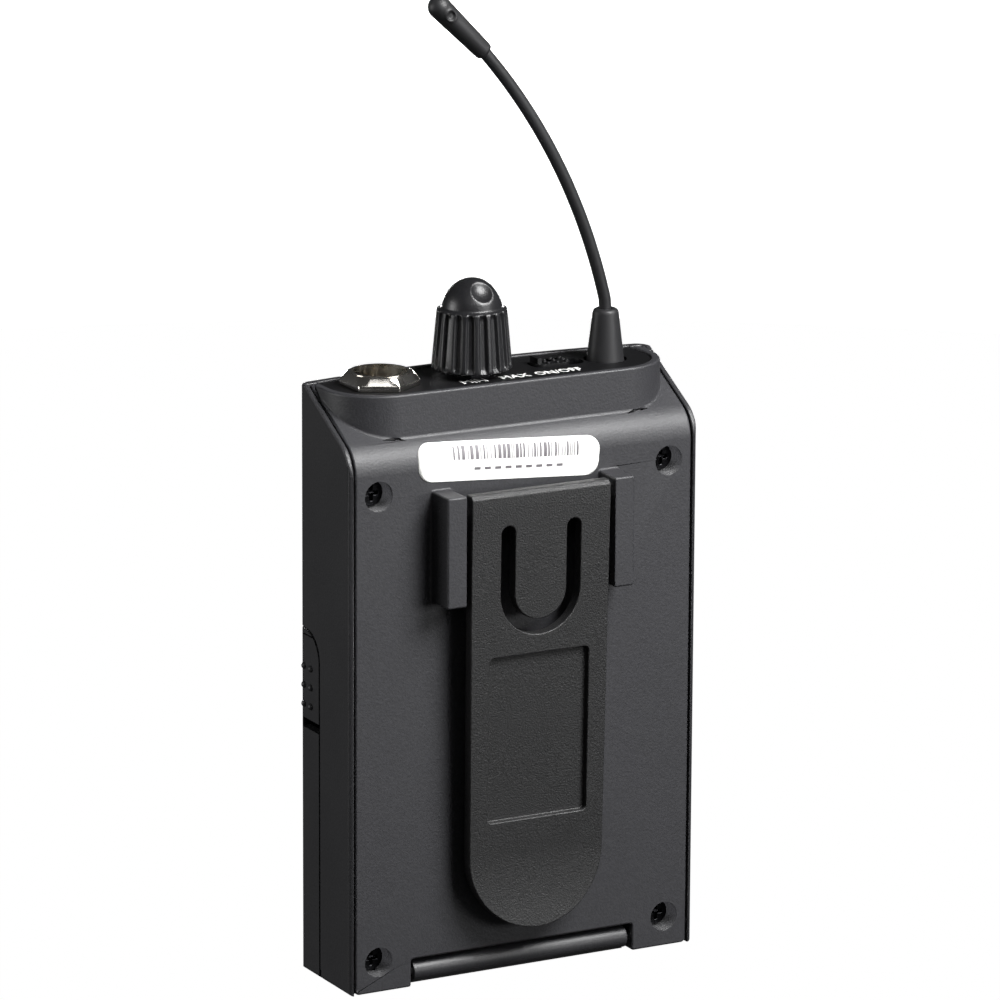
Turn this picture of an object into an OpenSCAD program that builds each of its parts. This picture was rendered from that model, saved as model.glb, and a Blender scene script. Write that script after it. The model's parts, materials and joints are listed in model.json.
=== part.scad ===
/* [Case] */
// Width of the case, side to side
case_w = 66; // [66:0.5:68]
// Height of the case up to the flat top
case_h = 101.8; // [101:0.1:108]
// Depth of the case at its middle, without the clip
case_d = 21.6; // [21.4:0.1:22]
// Thickness of the rear cover skin
skin = 1.3; // [1.1:0.1:1.5]
// Wall thickness of the shell
wall = 1.6; // [1.4:0.1:1.8]
// Height at which the rear face starts to round over
roof_z = 89.2; // [88.8:0.1:89.6]

/* [Belt clip] */
// How far the clip stands out behind the case
clip_out = 5.8; // [5.6:0.1:7]
// Thickness of the clip leaf
clip_t = 2.2; // [1.8:0.1:2.4]
// Height of the upper clip edge
clip_top = 85.4; // [85:0.1:86]
// Height of the lower clip end
clip_low = 9.2; // [8:0.1:16]

/* [Top controls] */
// Distance of the control line from the rear face
line_d = 12.3; // [12:0.1:12.6]
// Height of the knob
knob_h = 15.25; // [14:0.05:17]
// Radius of the knob at its foot
knob_r = 6.8; // [6:0.1:7]
// Inner radius of the microphone socket
socket_r = 4.6; // [4.4:0.05:4.65]

/* [Antenna] */
// Radius of the whip
whip_r = 1.05; // [0.9:0.05:1.1]
// Bending radius of the whip at rest
whip_bend = 104; // [100:1:140]

/* [Hidden] */
$fn = 48;
e = 0.01;
hw = case_w / 2;
yr = -(case_d + clip_out) / 2 + clip_out;
roof_r = 6;
roof_a = 61;
slope = 90 - roof_a;
pivot_d = 2.2;
pivot_z = 2.2;
door_d = 11.3;
door_z = 59.9;
clip_pd = -2.9;
clip_pz = 82;
scr_x = 27.5;
scr_lo = 5.3;
scr_hi = 85.8;
panel_z = case_h - 0.3;
panel_t = 1.5;
mic_x = -21;
knob_x = -3.7;
sw_x = 13;
sw_d = 13.4;
ant_x = 21.9;
cover_w = hw - 1.15;
head_in = hw - 31.4;
low_r = 0.8;
crown_r = 196;
corner_r = 2.5;
corner_x = hw - corner_r;
corner_d = case_d - crown_r + sqrt(pow(crown_r - corner_r, 2) - pow(corner_x, 2)) + 0.02;
btn_d = 17.6;
cell_x = 8.1;
cell_d = 10.6;
cell_z = 7.5;
board_posts = [[-24, 64.5], [24, 64.5], [-21, 84], [21, 84]];

// Y is measured from the rear face inside place()
module place() {
    translate([0, yr, 0])
        children();
}

// a slab along X cut from a depth/height outline
module along_x(x0, x1) {
    translate([x0, 0, 0])
        rotate([90, 0, 90])
            linear_extrude(height = x1 - x0)
                children();
}

// a slab along the depth cut from a width/height outline
module along_d(d0, d1) {
    translate([0, d1, 0])
        rotate([90, 0, 0])
            linear_extrude(height = d1 - d0)
                children();
}

module box(x0, x1, d0, d1, z0, z1) {
    translate([x0, d0, z0])
        cube([x1 - x0, d1 - d0, z1 - z0]);
}

module rod_x(x0, x1, d, z, r) {
    translate([x0, d, z])
        rotate([0, 90, 0])
            cylinder(h = x1 - x0, r = r);
}

module rod_d(d0, d1, x, z, r) {
    translate([x, d1, z])
        rotate([90, 0, 0])
            cylinder(h = d1 - d0, r = r);
}

module rod_z(z0, z1, x, d, r) {
    translate([x, d, z0])
        cylinder(h = z1 - z0, r = r);
}

// rectangle with its own radius at the low and at the high side
module soft_rect(x0, x1, y0, y1, ra, rb) {
    difference() {
        translate([x0, y0])
            square([x1 - x0, y1 - y0]);
        for (s = [0, 1]) {
            cx = s == 0 ? x0 : x1;
            k = s == 0 ? 1 : -1;
            if (ra > 0)
                difference() {
                    translate([cx - ra, y0 - ra])
                        square([2 * ra, 2 * ra]);
                    translate([cx + k * ra, y0 + ra])
                        circle(r = ra);
                    translate([s == 0 ? cx + ra : cx - 3 * ra, y0 - 2 * ra])
                        square([2 * ra, 4 * ra]);
                }
            if (rb > 0)
                difference() {
                    translate([cx - rb, y1 - rb])
                        square([2 * rb, 2 * rb]);
                    translate([cx + k * rb, y1 - rb])
                        circle(r = rb);
                    translate([s == 0 ? cx + rb : cx - 3 * rb, y1 - 2 * rb])
                        square([2 * rb, 4 * rb]);
                }
        }
    }
}

// depth/height outline of the case, moved inwards from the rear by off
function roof_pts(off) = [for (i = [0 : 8]) [
    roof_r - (roof_r - off) * cos(roof_a * i / 8),
    roof_z + (roof_r - off) * sin(roof_a * i / 8)]];
function roof_end(off) = roof_pts(off)[8];
function roof_run(off) = (case_h - roof_end(off)[1]) / sin(slope);
module side_outline(off, z0) {
    polygon(concat(
        [[case_d, z0], [off, z0]],
        roof_pts(off),
        [[roof_end(off)[0] + roof_run(off) * cos(slope), case_h], [case_d, case_h]]));
}

// width/height outline with the two rounded lower corners
module face_outline(w) {
    soft_rect(-w, w, 0, case_h + 1, low_r, 0);
}

// width/depth outline of the case with its crowned front, moved inwards by in
module case_plan(in) {
    half = corner_x * (crown_r - in) / (crown_r - corner_r);
    if (in > 0)
        translate([-hw + in, -1])
            square([case_w - 2 * in, corner_d + 1]);
    else
        soft_rect(-hw, hw, 0, corner_d, 0.8, 0);
    for (s = [-1, 1])
        translate([s * corner_x, corner_d])
            circle(r = corner_r - in);
    intersection() {
        translate([0, case_d - crown_r])
            circle(r = crown_r - in, $fn = 1440);
        translate([-half, corner_d - 1])
            square([2 * half, case_d]);
    }
}

module head_plan(inset, d0, d1, r) {
    soft_rect(-hw + inset, hw - inset, d0, d1, r, 2.2);
}

// the part of the depth/height outline that belongs to the door, grown by g
module door_zone(g) {
    difference() {
        translate([door_d - g, -1])
            square([case_d + 2 - door_d + g, door_z + g + 1]);
        difference() {
            translate([door_d - g - 1, door_z + g - 5])
                square([6, 6]);
            translate([door_d - g + 5, door_z + g - 5])
                circle(r = 5);
            translate([door_d - g + 5, door_z - 8])
                square([3, 12]);
        }
    }
}

module front_shell() {
    color("#2a2b2e")
        place()
            difference() {
                union() {
                    difference() {
                        intersection() {
                            linear_extrude(height = case_h)
                                case_plan(0);
                            along_x(-hw, hw)
                                side_outline(0, 0);
                            along_d(-1, case_d + 1)
                                face_outline(hw);
                        }
                        // seat of the rear cover
                        difference() {
                            box(-cover_w - 0.25, cover_w + 0.25, -1, 17.6, -1, case_h + 1);
                            along_x(-hw - 1, hw + 1)
                                side_outline(skin, -2);
                        }
                        // inner space
                        difference() {
                            translate([0, 0, wall])
                                linear_extrude(height = case_h)
                                    case_plan(wall);
                            box(-hw, hw, 17.6, case_d, 98.7, case_h + 3);
                            for (s = [-1, 1]) {
                                rod_d(5.9, 12.8, s * scr_x, scr_lo, 2.9);
                                rod_d(5.9, case_d, s * scr_x, scr_hi, 2.9);
                            }
                        }
                    }
                    // feet of the lower screw posts
                    for (s = [-1, 1])
                        box(s > 0 ? 25.8 : -hw + wall - e, s > 0 ? hw - wall + e : -25.8,
                            5.9, 12.8, wall - e, 5.3);
                    // battery bay
                    difference() {
                        box(-18.1, 18.1, 1.5, 16.9, 4.5, 59.6);
                        box(-16.9, 16.9, 2.9, case_d, 5.5, 58.4);
                        box(-hw, hw, door_d - 0.35, case_d, -1, 5.3);
                    }
                    // shelf between bay and electronics
                    box(-hw + wall - e, hw - wall + e, 7, 11, 58.4, 59.6);
                    // hinge cheeks
                    for (s = [-1, 1])
                        box(s > 0 ? 21.6 : -23.8, s > 0 ? 23.8 : -21.6, skin, 4.4, 0, 6);
                    // board posts
                    for (p = board_posts)
                        rod_d(6.6, case_d - wall - 0.4, p[0], p[1], 1.6);
                    // door catches
                    for (s = [-1, 1])
                        box(s > 0 ? 26 : -hw + wall - e, s > 0 ? hw - wall + e : -26, 9.6, 10.7, 46.5, 52.5);
                }
                // screw holes
                for (s = [-1, 1])
                    for (z = [scr_lo, scr_hi])
                        rod_d(5, 11.5, s * scr_x, z, 1);
                for (p = board_posts)
                    rod_d(6, 11, p[0], p[1], 0.8);
                // door opening
                along_x(-hw - 1, hw + 1)
                    door_zone(0.3);
                box(-hw - 1, hw + 1, door_d - 0.8, door_d, -1, wall + 0.1);
                // gap for the door foot and the hinge barrel
                difference() {
                    box(-21.6, 21.6, -1, door_d + 1, -1, 4.6);
                    box(-18.1, 18.1, 5, 12.9, 4.5, 6);
                }
                // hinge pin holes
                rod_x(-23.6, 23.6, pivot_d, pivot_z, 0.8);
                // seat of the top panel
                translate([0, 0, panel_z - panel_t])
                    linear_extrude(height = 4)
                        panel_plan(0);
            }
}

// outline of the top panel, moved inwards by g
module panel_plan(g) {
    intersection() {
        head_plan(head_in + 1.5 + g, 4.3 + g, case_d, 8.6 - g);
        case_plan(1.3 + g);
    }
}

module rear_cover() {
    color("#303134")
        place()
            difference() {
                union() {
                    // skin over the rear and the roof
                    difference() {
                        intersection() {
                            along_x(-cover_w, cover_w)
                                side_outline(0, 0);
                            along_d(-1, 17)
                                face_outline(cover_w);
                            box(-hw, hw, 0, 16.9, 0, case_h);
                        }
                        along_x(-hw - 1, hw + 1)
                            side_outline(skin, -1);
                    }
                    // raised head
                    difference() {
                        translate([0, 0, 94])
                            linear_extrude(height = case_h - 94)
                                intersection() {
                                    head_plan(head_in, 3, 26, 9.8);
                                    translate([-hw, 0])
                                        square([case_w, 16.9]);
                                }
                        along_x(-hw - 1, hw + 1)
                            side_outline(skin, 80);
                    }
                    difference() {
                        intersection() {
                            translate([0, 0, 94])
                                linear_extrude(height = case_h - 94)
                                    intersection() {
                                        head_plan(head_in, 3, 26, 9.8);
                                        translate([-hw, 0])
                                            square([case_w, 16.9]);
                                    }
                            along_x(-30.2, 30.2)
                                side_outline(skin, 80);
                        }
                        box(-hw, hw, -1, 20, 80, 98.4);
                    }
                    // screw wells
                    for (s = [-1, 1])
                        for (z = [scr_lo, scr_hi])
                            rod_d(skin - e, 5.9, s * scr_x, z, 3.4);
                    // clip ears
                    for (s = [-1, 1])
                        box(s > 0 ? 14 : -17.7, s > 0 ? 17.7 : -14, -clip_out, 0.5, 66.6, 85.6);
                }
                // screw wells and holes
                for (s = [-1, 1])
                    for (z = [scr_lo, scr_hi]) {
                        rod_d(-1, 4.6, s * scr_x, z, 2.6);
                        rod_d(4, 7, s * scr_x, z, 1.25);
                    }
                // inside of the head
                translate([0, 0, 90])
                    linear_extrude(height = 20)
                        head_plan(head_in + 2.8, 5.4, 26, 7.6);
                translate([0, 0, panel_z - panel_t])
                    linear_extrude(height = 4)
                        head_plan(head_in + 1.5, 4.3, 26, 8.6);
                // hinge cut-out
                box(-21.3, 21.3, -1, 3, -1, 4.85);
                // clip pin holes
                rod_x(-16.2, 16.2, clip_pd, clip_pz, 0.8);
            }
}

module top_panel() {
    color("#1b1b1d")
        place()
            difference() {
                translate([0, 0, panel_z - panel_t])
                    linear_extrude(height = panel_t)
                        panel_plan(0.1);
                rod_z(90, 110, mic_x, line_d, 5.15);
                rod_z(90, 110, knob_x, line_d, 2.6);
                rod_z(90, 110, ant_x, line_d, 3.7);
                // switch recess
                translate([sw_x - 0.05, sw_d, 90])
                    linear_extrude(height = 20)
                        soft_rect(-4.9, 4.9, -2.4, 2.4, 1.9, 1.9);
            }
}

// printed marks: less and more beside the knob, off and on beside the switch
module panel_marks() {
    color("#e8e8e6")
        place()
            translate([0, 0, panel_z])
                linear_extrude(height = 0.06) {
                    translate([-6.9, 6.2])
                        square([3.2, 0.7]);
                    translate([1.0, 6.2])
                        square([3.2, 0.7]);
                    translate([2.25, 4.95])
                        square([0.7, 3.2]);
                    translate([10.2, 6.4])
                        square([0.7, 2.6]);
                    translate([15.6, 7.7])
                        difference() {
                            circle(r = 1.3);
                            circle(r = 0.7);
                        }
                }
}

module battery_door() {
    color("#2c2d30")
        place()
            difference() {
                union() {
                    // front leaf with its two sides
                    difference() {
                        intersection() {
                            linear_extrude(height = door_z)
                                case_plan(0);
                            along_x(-hw, hw)
                                door_zone(0);
                            along_d(-1, case_d + 1)
                                face_outline(hw);
                        }
                        translate([0, 0, 1.6])
                            linear_extrude(height = door_z - 3.1)
                                case_plan(wall);
                        box(-hw + wall, hw - wall, 0, case_d - 4.2, 1.6, door_z + 1);
                    }
                    // foot
                    box(-21.3, 21.3, pivot_d, door_d + 3.2, 0, 1.6);
                    rod_x(-20.5, 20.5, pivot_d, pivot_z, 1.9);
                    // stiffening ribs
                    for (x = [-22, 22])
                        box(x - 0.6, x + 0.6, 16.4, 18.9, 6, 54);
                    // button guides
                    for (s = [-1, 1])
                        for (z = [44.9, 52.7])
                            box(s > 0 ? 26.9 : -27.9, s > 0 ? 27.9 : -26.9, 14.4, 18.5, z, z + 1);
                }
                // pin bore
                rod_x(-22, 22, pivot_d, pivot_z, 0.84);
                box(-22, -20.5, 0, 5, -1, 5);
                box(20.5, 22, 0, 5, -1, 5);
                box(-10, 10, 3.2, door_d - 2, 1.2, 3);
                // window of each side button, open towards the gap under it
                for (s = [-1, 1])
                    intersection() {
                        box(s > 0 ? hw - wall - 1.5 : -hw - 1, s > 0 ? hw + 1 : -hw + wall + 1.5,
                            door_d - 1, btn_d + 0.25, 42.9, 61);
                        along_x(-hw - 1, hw + 1)
                            button_zone(0.25);
                    }
                for (s = [-1, 1])
                    box(s > 0 ? hw - wall - 1.5 : -hw - 1, s > 0 ? hw + 1 : -hw + wall + 1.5,
                        door_d - 1, btn_d + 0.25, 42.9, 46);
            }
}

// outline of a side button, grown by g at its front and top only
module button_zone(g) {
    intersection() {
        door_zone(0);
        translate([door_d - 1, 40])
            square([btn_d + g - door_d + 1, door_z - 0.9 + g - 40]);
    }
}

module latch_button(s) {
    mirror([s > 0 ? 0 : 1, 0, 0])
        place()
            union() {
                intersection() {
                    linear_extrude(height = door_z)
                        case_plan(0);
                    along_x(hw - wall, hw)
                        button_zone(0);
                    box(0, hw, 0, case_d, 44.6, door_z);
                }
                // stem towards the catch
                box(28.3, hw - wall + e, 14.2, 16.8, 46.4, 52.2);
                box(24.3, 28.4, 14.6, 16.8, 48.0, 50.6);
                box(24.3, 25.5, 8.4, 14.7, 48.0, 50.6);
                box(25.4, 25.9, 8.4, 9.3, 48.0, 50.6);
                // grip pips
                for (i = [0 : 2]) {
                    translate([hw - 0.1, 16.6, 47 + 3.3 * i])
                        sphere(r = 0.62, $fn = 20);
                    translate([hw - 0.05, 14.1, 47 + 3.3 * i])
                        sphere(r = 0.62, $fn = 20);
                }
            }
}

module latch_button_left() {
    color("#2e2f32")
        latch_button(-1);
}

module latch_button_right() {
    color("#2e2f32")
        latch_button(1);
}

// bent leaves that push the side buttons outwards
module latch_springs() {
    color("#c8cacc")
        place()
            for (s = [0, 1])
                mirror([s, 0, 0])
                    translate([0, 0, 50.9])
                        linear_extrude(height = 1)
                            polygon([[22.6, 16.4], [25.4, 15.1], [28.3, 16.4], [28.3, 16.7],
                                [25.4, 15.4], [22.6, 16.7]]);
}

module door_pad() {
    color("#4a4a4c")
        place()
            intersection() {
                box(-15, 15, 18.2, case_d, 24, 42);
                linear_extrude(height = 50)
                    case_plan(wall + 0.02);
            }
}

module hinge_pin() {
    color("#b9bbbd")
        place()
            rod_x(-23.5, 23.5, pivot_d, pivot_z, 0.8);
}

module clip_outline() {
    r = 12.7;
    translate([0, clip_low + r])
        circle(r = r, $fn = 96);
    polygon([[-r, clip_low + r], [r, clip_low + r], [13.1, clip_top - 14], [13.1, clip_top],
        [-13.1, clip_top], [-13.1, clip_top - 14]]);
}

module clip_slot() {
    for (s = [-1, 1]) {
        translate([s * 6.2, clip_top - 7.1])
            circle(r = 1.3);
        translate([s * 6.2 - 1.3, clip_top - 17.7])
            square([2.6, 10.6]);
    }
    intersection() {
        translate([0, clip_top - 17.6])
            difference() {
                circle(r = 7.5, $fn = 72);
                circle(r = 4.9, $fn = 72);
            }
        translate([-8, clip_top - 26])
            square([16, 8.4]);
    }
}

// the clip leaf leans towards the case and its lower end turns outwards
function leaf_line(z) = -clip_out + 0.021 * max(0, clip_pz - z) - 0.0068 * pow(max(0, 24 - z), 2);

// depth/height outline between the outer face plus a and the outer face plus b
module leaf_side(a, b) {
    up = [for (i = [0 : 10]) clip_low - 1 + (25 - clip_low) * i / 10];
    polygon(concat(
        [for (z = up) [leaf_line(z) + a, z]],
        [[a - clip_out, clip_pz], [a - clip_out, clip_top + 2], [b - clip_out, clip_top + 2],
            [b - clip_out, clip_pz]],
        [for (i = [10 : -1 : 0]) [leaf_line(up[i]) + b, up[i]]]));
}

module belt_clip() {
    color("#26272a")
        place()
            difference() {
                union() {
                    intersection() {
                        along_d(-clip_out - 1, 1)
                            clip_outline();
                        along_x(-14, 14)
                            leaf_side(0, clip_t);
                    }
                    for (s = [-1, 1])
                        rod_x(s > 0 ? 5 : -12.9, s > 0 ? 12.9 : -5, clip_pd, clip_pz, 2.1);
                    // inner grip ridge
                    intersection() {
                        rod_x(-9, 9, -2.4, clip_low + 7, 2);
                        box(-10, 10, -clip_out + clip_t - 0.2, -0.5, 0, 40);
                    }
                }
                along_d(-clip_out - 1, 0)
                    clip_slot();
                // sunk panel
                difference() {
                    along_d(-clip_out - 1, 0)
                        soft_rect(-9.4, 9.4, clip_top - 57.2, clip_top - 28.4, 0.8, 0.8);
                    along_x(-15, 15)
                        leaf_side(1.1, 9);
                }
                rod_x(-14, 14, clip_pd, clip_pz, 0.84);
                // chamfer of the upper edge
                translate([0, -clip_out, clip_top])
                    rotate([45, 0, 0])
                        cube([40, 0.9, 0.9], center = true);
                // room for the spring
                box(-5, 5, -clip_out + 0.9, 1, clip_pz - 2.6, clip_pz + 2.6);
            }
}

module clip_pin() {
    color("#b9bbbd")
        place()
            rod_x(-16.1, 16.1, clip_pd, clip_pz, 0.8);
}

module clip_spring() {
    color("#c8cacc")
        place() {
            translate([-1.5, clip_pd, clip_pz])
                rotate([0, 90, 0])
                    rotate_extrude() {
                        for (i = [0 : 5])
                            translate([1.35, 0.55 * i])
                                circle(r = 0.25, $fn = 24);
                        translate([1.25, 0])
                            square([0.2, 2.75]);
                    }
            // one leg against the case, one against the clip
            rod_z(clip_pz - 7, clip_pz, -1.5, clip_pd + 1.35, 0.2);
            rod_z(clip_pz - 2.5, clip_pz, 1.25, clip_pd - 1.35, 0.2);
            rod_d(clip_pd + 1.35, clip_pd + 2.85, -1.5, clip_pz - 7, 0.2);
        }
}

module label_zone() {
    translate([-3.6, 89.5])
        rotate([0, 0, -4])
            soft_rect(-16.7, 16.7, -3.2, 3.2, 2.2, 2.2);
}

module label() {
    color("#f2f2ef")
        place()
            intersection() {
                difference() {
                    along_x(-24, 20)
                        side_outline(-0.1, 80);
                    along_x(-25, 21)
                        side_outline(0, 79);
                }
                along_d(-1, 3)
                    label_zone();
            }
}

module case_screws() {
    color("#17181a")
        place()
            for (s = [-1, 1])
                for (z = [scr_lo, scr_hi])
                    difference() {
                        union() {
                            rod_d(2.9, 4.6, s * scr_x, z, 2.2);
                            rod_d(4.5, 10.2, s * scr_x, z, 1);
                        }
                        box(s * scr_x - 1.3, s * scr_x + 1.3, 2, 3.8, z - 0.3, z + 0.3);
                        box(s * scr_x - 0.3, s * scr_x + 0.3, 2, 3.8, z - 1.3, z + 1.3);
                    }
}

module gain_knob() {
    color("#1d1e20")
        place()
            translate([knob_x, line_d, case_h + 1])
                difference() {
                    union() {
                        cylinder(h = knob_h - 5, r1 = knob_r, r2 = knob_r - 0.9);
                        intersection() {
                            translate([0, 0, knob_h - 5.3])
                                sphere(r = 5.3);
                            translate([0, 0, knob_h - 5.2])
                                cylinder(h = 8, r = 8);
                        }
                    }
                    // flutes
                    for (i = [0 : 17])
                        rotate([0, 0, 20 * i])
                            translate([knob_r + 0.35, 0, -1])
                                rotate([0, -4.6, 0])
                                    cylinder(h = knob_h, r = 0.85, $fn = 16);
                    // finger dimple
                    rotate([0, 0, -89])
                        translate([5.5, 0, knob_h + 0.1])
                            sphere(r = 3.5);
                    // socket for the shaft
                    translate([0, 0, -1])
                        cylinder(h = 9.5, r = 1.5);
                    translate([0, 0, -1])
                        cylinder(h = 2.6, r = 5.4);
                }
}

module pot_shaft() {
    color("#c4c6c8")
        place()
            rod_z(96.4, case_h + 9.0, knob_x, line_d, 1.5);
}

module pot_body() {
    color("#5d6064")
        place()
            difference() {
                union() {
                    box(knob_x - 4.8, knob_x + 4.8, line_d - 4.6, line_d + 4.6, 91.5, 96.9);
                    rod_z(96.8, 101.9, knob_x, line_d, 2.5);
                    for (i = [-1 : 1])
                        box(knob_x + 2.5 * i - 0.4, knob_x + 2.5 * i + 0.4, 7.4, 7.8, 88.6, 91.6);
                }
                rod_z(96.3, 103, knob_x, line_d, 1.55);
            }
}

module pot_nut() {
    color("#c4c6c8")
        place()
            difference() {
                translate([knob_x, line_d, panel_z])
                    cylinder(h = 0.5, r = 3.6, $fn = 6);
                rod_z(100, 104, knob_x, line_d, 2.5);
            }
}

module switch_button() {
    color("#202123")
        place()
            union() {
                translate([sw_x - 1.25, sw_d, panel_z - 1.5])
                    linear_extrude(height = 1.9)
                        soft_rect(-3.3, 3.3, -2.1, 2.1, 1.5, 1.5);
                // thumb ridge at the off end
                box(sw_x - 4.3, sw_x - 3.4, sw_d - 1.4, sw_d + 1.4, panel_z + 0.3, panel_z + 1.4);
                rod_z(panel_z - 3.2, panel_z - 1.4, sw_x - 1.25, sw_d, 0.9);
                for (i = [-1 : 1])
                    for (j = [-1 : 1])
                        translate([sw_x - 0.5 + 1.75 * i, sw_d + 1.35 * j, panel_z + 0.35])
                            sphere(r = 0.42, $fn = 16);
            }
}

module switch_body() {
    color("#6a6d70")
        place()
            difference() {
                union() {
                    box(sw_x - 4.9, sw_x + 4.9, sw_d - 3, sw_d + 3, 94.2, panel_z - panel_t - 0.2);
                    for (i = [-1 : 1])
                        box(sw_x + 3 * i - 0.4, sw_x + 3 * i + 0.4, sw_d - 5.8, sw_d - 5.4, 91, 95);
                    box(sw_x - 4, sw_x + 4, sw_d - 5.8, sw_d - 2.9, 94.6, 95.2);
                }
                box(sw_x - 3, sw_x + 3, sw_d - 1.1, sw_d + 1.1, 97.6, 101);
            }
}

module mic_socket_shell() {
    color("#b8b2a6")
        place()
            difference() {
                union() {
                    rod_z(92.5, case_h + 2.2, mic_x, line_d, 5.1);
                    rod_z(95.8, 98.6, mic_x, line_d, 5.7);
                }
                rod_z(98.8, case_h + 3, mic_x, line_d, socket_r);
                rod_z(94.5, 99, mic_x, line_d, 4.3);
                rod_z(90, 95, mic_x, line_d, 3.9);
                // key slot
                box(mic_x - 1.6, mic_x - 0.7, line_d + 4, line_d + 4.9, 97.9, case_h + 3);
            }
}

module mic_hex_nut() {
    color("#d2cfc8")
        place()
            difference() {
                translate([mic_x, line_d, panel_z])
                    rotate([0, 0, 32])
                        intersection() {
                            cylinder(h = 2.4, r1 = 6.8, r2 = 6.1, $fn = 6);
                            cylinder(h = 2.4, r1 = 7.2, r2 = 5.55);
                        }
                rod_z(100, 106, mic_x, line_d, 5.13);
            }
}

module mic_insulator() {
    color("#222325")
        place()
            difference() {
                union() {
                    rod_z(94.5, 96.6, mic_x, line_d, 4.28);
                    rod_z(91.6, 94.6, mic_x, line_d, 3.85);
                }
                for (a = [45 : 90 : 315])
                    rod_z(90, 98, mic_x + 2.1 * cos(a), line_d + 2.1 * sin(a), 0.45);
            }
}

module mic_pins() {
    color("#c9a24a")
        place()
            for (a = [45 : 90 : 315])
                rod_z(89.6, 98.6, mic_x + 2.1 * cos(a), line_d + 2.1 * sin(a), 0.45);
}

module antenna_boot() {
    color("#1f2022")
        place()
            translate([ant_x, line_d, panel_z - panel_t - 1])
                difference() {
                    union() {
                        cylinder(h = 1.9, r = 3.65);
                        translate([0, 0, 1.8])
                            cylinder(h = 9.1, r1 = 3.25, r2 = 2.2);
                        translate([0, 0, 10.8])
                            cylinder(h = 0.5, r1 = 2.2, r2 = 1.8);
                    }
                    translate([0, 0, -1])
                        cylinder(h = 14, r = whip_r + 0.03);
                    translate([0, 0, -1])
                        cylinder(h = 7.4, r = 1.6);
                }
}

whip_a0 = 13.5;
whip_a1 = 42;
whip_z0 = case_h + 9.3;

module antenna_whip() {
    color("#222325")
        place() {
            translate([ant_x - whip_bend * cos(whip_a0), line_d, whip_z0 - whip_bend * sin(whip_a0)])
                rotate([90, 0, 0])
                    rotate([0, 0, whip_a0])
                        rotate_extrude(angle = whip_a1 - whip_a0)
                            translate([whip_bend, 0])
                                circle(r = whip_r, $fn = 24);
            translate([ant_x, line_d, whip_z0])
                sphere(r = whip_r, $fn = 24);
            rod_z(case_h + 3.4, whip_z0, ant_x, line_d, whip_r);
        }
}

function whip_end() = [ant_x - whip_bend * (cos(whip_a0) - cos(whip_a1)),
    whip_z0 + whip_bend * (sin(whip_a1) - sin(whip_a0))];

module antenna_tip() {
    color("#1f2022")
        place()
            translate([whip_end()[0], line_d, whip_end()[1]])
                rotate([0, -46, 0])
                    difference() {
                        union() {
                            cylinder(h = 11.21, r1 = 1.6, r2 = 1.95);
                            translate([0, 0, 11.2])
                                sphere(r = 1.95);
                            translate([0, 0, -0.6])
                                cylinder(h = 0.61, r1 = 1.3, r2 = 1.6);
                        }
                        translate([0, 0, -1])
                            cylinder(h = 3, r = whip_r + 0.02);
                        translate([0, -1.55, 9.4])
                            rotate([90, 0, 0])
                                cylinder(h = 1, r = 0.9, $fn = 24);
                    }
}

module antenna_ferrule() {
    color("#c0a060")
        place()
            union() {
                rod_z(91.8, 98, ant_x, line_d, 2.2);
                rod_z(97.9, case_h + 3.4, ant_x, line_d, 1.55);
                box(ant_x - 1.2, ant_x + 1.2, 7.0, line_d, 92.4, 93.2);
            }
}

module main_board() {
    color("#1f5b3a")
        place()
            difference() {
                box(-28.4, 28.4, 5.6, 6.6, 60.6, 92);
                for (s = [-1, 1])
                    rod_d(5, 7, s * scr_x, scr_hi, 3.7);
                for (p = board_posts)
                    rod_d(5, 7, p[0], p[1], 0.85);
            }
}

module rf_shield() {
    color("#bfc3c6")
        place()
            difference() {
                box(-8, 14, 6.6, 9.6, 64, 84);
                box(-7.7, 13.7, 6.5, 9.3, 64.3, 83.7);
            }
}

module board_chips() {
    color("#26282b")
        place() {
            box(-21, -13, 6.6, 7.8, 68, 76);
            box(-17.6, -12.6, 6.6, 7.6, 80, 84);
            box(16.5, 21.5, 6.6, 7.9, 72, 80);
            rod_d(6.6, 12.2, 19, 67.2, 2);
            rod_d(6.6, 12.2, -16, 64.6, 2);
            box(12, 16, 6.6, 8.2, 88, 90.5);
            for (i = [0 : 4])
                box(-6 + 4 * i, -4.4 + 4 * i, 6.6, 7.1, 86, 86.8);
        }
}

module board_screws() {
    color("#b9bbbd")
        place()
            for (p = board_posts)
                difference() {
                    union() {
                        rod_d(4.5, 5.6, p[0], p[1], 1.5);
                        rod_d(5.5, 10.6, p[0], p[1], 0.8);
                    }
                    box(p[0] - 1, p[0] + 1, 4, 4.9, p[1] - 0.2, p[1] + 0.2);
                }
}

module cell() {
    union() {
        cylinder(h = 49.3, r = 7.1);
        cylinder(h = 50.5, r = 2.75);
    }
}

module battery_left() {
    color("#8f9397")
        place()
            translate([-cell_x, cell_d, cell_z])
                cell();
}

module battery_right() {
    color("#8f9397")
        place()
            translate([cell_x, cell_d, cell_z + 50.5])
                mirror([0, 0, 1])
                    cell();
}

module contact_springs() {
    color("#d0d2d4")
        place() {
            // lower spring under the left cell, upper spring over the right cell
            for (s = [-1, 1]) {
                z0 = s < 0 ? 5.5 : 58.4;
                for (i = [0 : 2])
                    translate([s * cell_x, cell_d, z0 + (s < 0 ? 0.3 : -0.1) + (s < 0 ? 0.55 * i : 0)])
                        if (s < 0)
                            rotate_extrude()
                                translate([3.6 - 0.45 * i, 0])
                                    circle(r = 0.3, $fn = 16);
            }
            rod_z(5.5, 5.8, -cell_x, cell_d, 4.4);
            rod_z(5.5, 7.5, -cell_x, cell_d, 2.4);
            rod_z(58.0, 58.4, cell_x, cell_d, 4.4);
        }
}

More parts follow.
